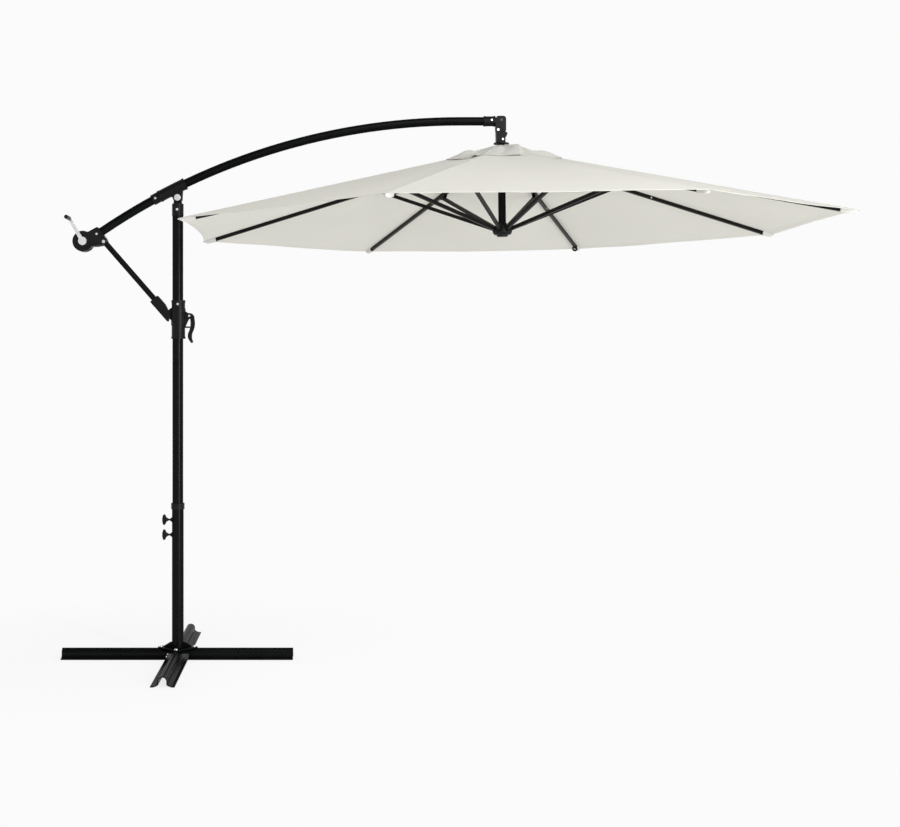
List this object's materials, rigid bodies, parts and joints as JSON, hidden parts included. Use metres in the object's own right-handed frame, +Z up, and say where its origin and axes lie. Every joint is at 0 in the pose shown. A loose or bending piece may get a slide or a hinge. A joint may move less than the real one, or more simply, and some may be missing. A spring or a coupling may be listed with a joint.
{
  "type": "cantilever parasol",
  "caption": "Cantilever parasol: a cross-base mast carries a curved crank-operated arm that holds an octagonal vented canopy on folding ribs.",
  "frame": {"origin": "on the ground, on the mast axis, where the two base bars cross", "axes": "+X along the arm towards the canopy, +Y away from the crank handle, +Z up"},
  "size_m": [3.3499, 2.7716, 2.4202],
  "materials": {
    "black_steel": "satin",
    "black_tube": "satin",
    "rib_alloy": "satin",
    "black_plastic": "satin",
    "inner_plastic": "matte",
    "zinc": "satin",
    "silver_metal": "satin",
    "canopy_fabric": "matte"
  },
  "bodies": {
    "base": {"base_bar_side": "black_steel", "base_bar_front": "black_steel", "base_plate": "black_steel", "base_bolts": "zinc", "base_tube": "black_steel", "clamp_bosses": "black_plastic", "base_collar": "black_plastic"},
    "upper_knob": {"clamp_knob_upper": "black_plastic"},
    "lower_knob": {"clamp_knob_lower": "black_plastic"},
    "mast": {"mast_tube": "black_steel", "mast_head": "black_plastic", "mast_head_screw": "zinc"},
    "arm": {"arm_rear_tube": "black_tube", "arm_front_tube": "black_tube", "arm_joint": "black_plastic", "arm_pivot_bolt": "zinc", "arm_rivets": "zinc", "crank_housing_front": "black_plastic", "crank_housing_rear": "black_plastic", "arm_end_sleeve": "black_plastic", "elbow": "black_plastic"},
    "pulley": {"cord_pulley": "inner_plastic"},
    "crank": {"cord_spool": "inner_plastic", "crank_arm": "silver_metal"},
    "grip": {"crank_grip": "black_plastic"},
    "strut": {"strut_tube": "black_tube", "strut_foot": "black_plastic", "strut_pins": "zinc"},
    "slider": {"slider_bracket": "black_plastic", "slider_pins": "zinc"},
    "lever": {"lock_lever": "black_plastic"},
    "canopy_head": {"swing_joint": "black_plastic", "top_hub": "black_plastic", "elbow_pins": "zinc"},
    "runner": {"runner_hub": "black_plastic", "centre_pole": "black_tube"},
    "rib_1": {"rib_1": "rib_alloy", "canopy_panel_1": "canopy_fabric"},
    "stretcher_1": {"stretcher_1": "rib_alloy"},
    "rib_2": {"rib_2": "rib_alloy", "canopy_panel_2": "canopy_fabric"},
    "stretcher_2": {"stretcher_2": "rib_alloy"},
    "rib_3": {"rib_3": "rib_alloy", "canopy_panel_3": "canopy_fabric"},
    "stretcher_3": {"stretcher_3": "rib_alloy"},
    "rib_4": {"rib_4": "rib_alloy", "canopy_panel_4": "canopy_fabric"},
    "stretcher_4": {"stretcher_4": "rib_alloy"},
    "rib_5": {"rib_5": "rib_alloy", "canopy_panel_5": "canopy_fabric"},
    "stretcher_5": {"stretcher_5": "rib_alloy"},
    "rib_6": {"rib_6": "rib_alloy", "canopy_panel_6": "canopy_fabric"},
    "stretcher_6": {"stretcher_6": "rib_alloy"},
    "rib_7": {"rib_7": "rib_alloy", "canopy_panel_7": "canopy_fabric"},
    "stretcher_7": {"stretcher_7": "rib_alloy"},
    "rib_8": {"rib_8": "rib_alloy", "canopy_panel_8": "canopy_fabric"},
    "stretcher_8": {"stretcher_8": "rib_alloy"}
  },
  "joints": [
    {"name": "mast_swivel", "type": "hinge", "parent": "base", "child": "mast", "pos_m": [0, 0, 0.33], "axis": [0, 0, 1], "range_deg": [-180, 180]},
    {"name": "upper_knob_turn", "type": "hinge", "parent": "base", "child": "upper_knob", "pos_m": [-0.05, 0, 0.617], "axis": [-1, 0, 0], "continuous": true},
    {"name": "lower_knob_turn", "type": "hinge", "parent": "base", "child": "lower_knob", "pos_m": [-0.05, 0, 0.55], "axis": [-1, 0, 0], "continuous": true},
    {"name": "arm_lift", "type": "hinge", "parent": "mast", "child": "arm", "pos_m": [0, 0, 2.054], "axis": [0, -1, 0], "range_deg": [0, 30]},
    {"name": "strut_hinge", "type": "hinge", "parent": "arm", "child": "strut", "pos_m": [-0.327, 0, 1.857], "axis": [0, -1, 0], "range_deg": [-60, 0.5]},
    {"name": "slider_hinge", "type": "hinge", "parent": "strut", "child": "slider", "pos_m": [-0.046, 0, 1.535], "axis": [0, -1, 0], "range_deg": [-0.5, 25]},
    {"name": "lock_lever_swing", "type": "hinge", "parent": "slider", "child": "lever", "pos_m": [0.052, 0, 1.527], "axis": [0, -1, 0], "range_deg": [0, 60]},
    {"name": "canopy_swing", "type": "hinge", "parent": "arm", "child": "canopy_head", "pos_m": [1.429, 0, 2.356], "axis": [0, 1, 0], "range_deg": [0, 6]},
    {"name": "canopy_close", "type": "hinge", "parent": "canopy_head", "child": "rib_1", "pos_m": [1.49452, 0.02051, 2.2656], "axis": [-0.3827, 0.9239, -0.0047], "range_deg": [0, 66], "deforming": ["canopy_panel_1", "canopy_panel_2", "canopy_panel_3", "canopy_panel_4", "canopy_panel_5", "canopy_panel_6", "canopy_panel_7", "canopy_panel_8"]},
    {"name": "rib_2_fold", "type": "hinge", "parent": "canopy_head", "child": "rib_2", "pos_m": [1.46551, 0.04952, 2.26525], "axis": [-0.9238, 0.3827, -0.0113], "range_deg": [-0.5, 66.5]},
    {"name": "rib_3_fold", "type": "hinge", "parent": "canopy_head", "child": "rib_3", "pos_m": [1.42449, 0.04952, 2.26475], "axis": [-0.9238, -0.3827, -0.0113], "range_deg": [-0.5, 66.5]},
    {"name": "rib_4_fold", "type": "hinge", "parent": "canopy_head", "child": "rib_4", "pos_m": [1.39548, 0.02051, 2.26439], "axis": [-0.3827, -0.9239, -0.0047], "range_deg": [-0.5, 66.5]},
    {"name": "rib_5_fold", "type": "hinge", "parent": "canopy_head", "child": "rib_5", "pos_m": [1.39548, -0.02051, 2.26439], "axis": [0.3827, -0.9239, 0.0047], "range_deg": [-0.5, 66.5]},
    {"name": "rib_6_fold", "type": "hinge", "parent": "canopy_head", "child": "rib_6", "pos_m": [1.42449, -0.04952, 2.26475], "axis": [0.9238, -0.3827, 0.0113], "range_deg": [-0.5, 66.5]},
    {"name": "rib_7_fold", "type": "hinge", "parent": "canopy_head", "child": "rib_7", "pos_m": [1.46551, -0.04952, 2.26525], "axis": [0.9238, 0.3827, 0.0113], "range_deg": [-0.5, 66.5]},
    {"name": "rib_8_fold", "type": "hinge", "parent": "canopy_head", "child": "rib_8", "pos_m": [1.49452, -0.02051, 2.2656], "axis": [0.3827, 0.9239, 0.0047], "range_deg": [-0.5, 66.5]},
    {"name": "stretcher_1_hinge", "type": "hinge", "parent": "rib_1", "child": "stretcher_1", "pos_m": [1.97753, 0.21982, 2.11852], "axis": [-0.3827, 0.9239, -0.0047], "range_deg": [-127.62, 1]},
    {"name": "stretcher_2_hinge", "type": "hinge", "parent": "rib_2", "child": "stretcher_2", "pos_m": [1.66668, 0.5307, 2.11472], "axis": [-0.9238, 0.3827, -0.0113], "range_deg": [-127.62, 1]},
    {"name": "stretcher_3_hinge", "type": "hinge", "parent": "rib_3", "child": "stretcher_3", "pos_m": [1.22706, 0.5307, 2.10935], "axis": [-0.9238, -0.3827, -0.0113], "range_deg": [-127.62, 1]},
    {"name": "stretcher_4_hinge", "type": "hinge", "parent": "rib_4", "child": "stretcher_4", "pos_m": [0.91621, 0.21982, 2.10555], "axis": [-0.3827, -0.9239, -0.0047], "range_deg": [-127.62, 1]},
    {"name": "stretcher_5_hinge", "type": "hinge", "parent": "rib_5", "child": "stretcher_5", "pos_m": [0.91621, -0.21982, 2.10555], "axis": [0.3827, -0.9239, 0.0047], "range_deg": [-127.62, 1]},
    {"name": "stretcher_6_hinge", "type": "hinge", "parent": "rib_6", "child": "stretcher_6", "pos_m": [1.22706, -0.5307, 2.10935], "axis": [0.9238, -0.3827, 0.0113], "range_deg": [-127.62, 1]},
    {"name": "stretcher_7_hinge", "type": "hinge", "parent": "rib_7", "child": "stretcher_7", "pos_m": [1.66668, -0.5307, 2.11472], "axis": [0.9238, 0.3827, 0.0113], "range_deg": [-127.62, 1]},
    {"name": "stretcher_8_hinge", "type": "hinge", "parent": "rib_8", "child": "stretcher_8", "pos_m": [1.97753, -0.21982, 2.11852], "axis": [0.3827, 0.9239, 0.0047], "range_deg": [-127.62, 1]},
    {"name": "runner_hinge", "type": "hinge", "parent": "stretcher_1", "child": "runner", "pos_m": [1.48071, 0.01301, 1.91341], "axis": [-0.3827, 0.9239, -0.0047], "range_deg": [-0.5, 61.12]},
    {"name": "crank_turn", "type": "hinge", "parent": "arm", "child": "crank", "pos_m": [-0.42, 0, 1.859], "axis": [0, -1, 0], "range_deg": [-1, 1783]},
    {"name": "grip_spin", "type": "hinge", "parent": "crank", "child": "grip", "pos_m": [-0.4775, -0.08, 1.95859], "axis": [0, -1, 0], "continuous": true},
    {"name": "pulley_turn", "type": "hinge", "parent": "arm", "child": "pulley", "pos_m": [1.444, 0, 2.4], "axis": [0, -1, 0], "range_deg": [-1, 3961]}
  ],
  "couplings": [
    {"joint": "strut_hinge", "follows": "arm_lift", "ratio": -1.74},
    {"joint": "slider_hinge", "follows": "arm_lift", "ratio": 0.74},
    {"joint": "rib_2_fold", "follows": "canopy_close", "ratio": 1},
    {"joint": "rib_3_fold", "follows": "canopy_close", "ratio": 1},
    {"joint": "rib_4_fold", "follows": "canopy_close", "ratio": 1},
    {"joint": "rib_5_fold", "follows": "canopy_close", "ratio": 1},
    {"joint": "rib_6_fold", "follows": "canopy_close", "ratio": 1},
    {"joint": "rib_7_fold", "follows": "canopy_close", "ratio": 1},
    {"joint": "rib_8_fold", "follows": "canopy_close", "ratio": 1},
    {"joint": "stretcher_1_hinge", "follows": "canopy_close", "ratio": -1.9185},
    {"joint": "stretcher_2_hinge", "follows": "canopy_close", "ratio": -1.9185},
    {"joint": "stretcher_3_hinge", "follows": "canopy_close", "ratio": -1.9185},
    {"joint": "stretcher_4_hinge", "follows": "canopy_close", "ratio": -1.9185},
    {"joint": "stretcher_5_hinge", "follows": "canopy_close", "ratio": -1.9185},
    {"joint": "stretcher_6_hinge", "follows": "canopy_close", "ratio": -1.9185},
    {"joint": "stretcher_7_hinge", "follows": "canopy_close", "ratio": -1.9185},
    {"joint": "stretcher_8_hinge", "follows": "canopy_close", "ratio": -1.9185},
    {"joint": "runner_hinge", "follows": "canopy_close", "ratio": 0.9185},
    {"joint": "crank_turn", "follows": "canopy_close", "ratio": 27},
    {"joint": "pulley_turn", "follows": "canopy_close", "ratio": 60}
  ]
}
